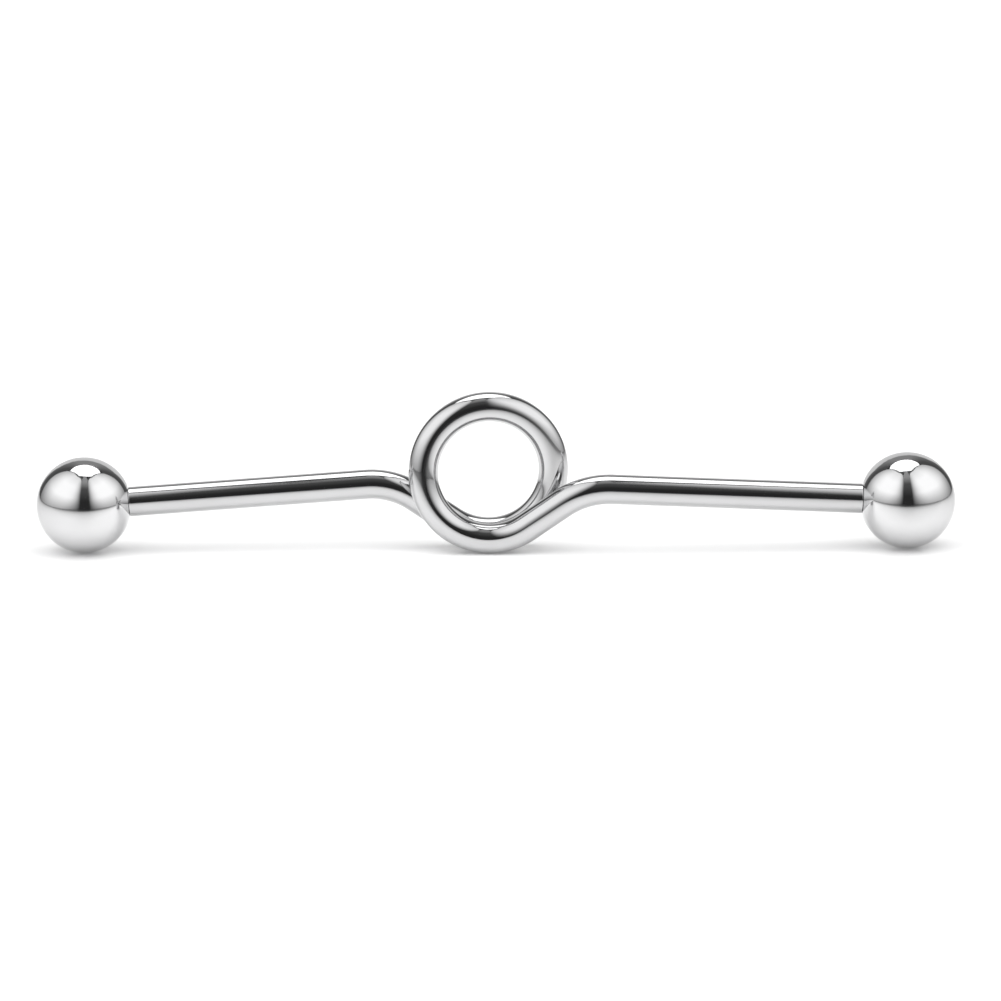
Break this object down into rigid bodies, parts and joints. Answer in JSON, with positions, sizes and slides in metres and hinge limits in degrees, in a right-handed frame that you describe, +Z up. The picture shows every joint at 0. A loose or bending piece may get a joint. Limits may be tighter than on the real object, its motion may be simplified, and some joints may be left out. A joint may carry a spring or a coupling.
{
  "type": "industrial barbell",
  "caption": "Bent steel wire with a full loop at its middle and a round ball screwed on at each end, for piercings",
  "frame": {"origin": "on the resting plane, midway between the outer sides of the balls", "axes": "+X from the left ball to the right ball, +Y along the loop's axis away from the viewer, +Z up"},
  "size_m": [0.0478, 0.008, 0.0083],
  "materials": {
    "bar_steel": "mirror-polished surgical steel",
    "ball_steel": "mirror-polished surgical steel"
  },
  "bodies": {
    "bar": {"bar": "bar_steel"},
    "left_ball": {"left_ball": "ball_steel"},
    "right_ball": {"right_ball": "ball_steel"}
  },
  "joints": [
    {"name": "left_ball_unscrew", "type": "slide", "parent": "bar", "child": "left_ball", "axis": [-0.9981, 0.0109, -0.0604], "range_m": [0, 0.003]},
    {"name": "right_ball_unscrew", "type": "slide", "parent": "bar", "child": "right_ball", "axis": [0.9982, -0.0105, -0.0582], "range_m": [0, 0.003]}
  ]
}
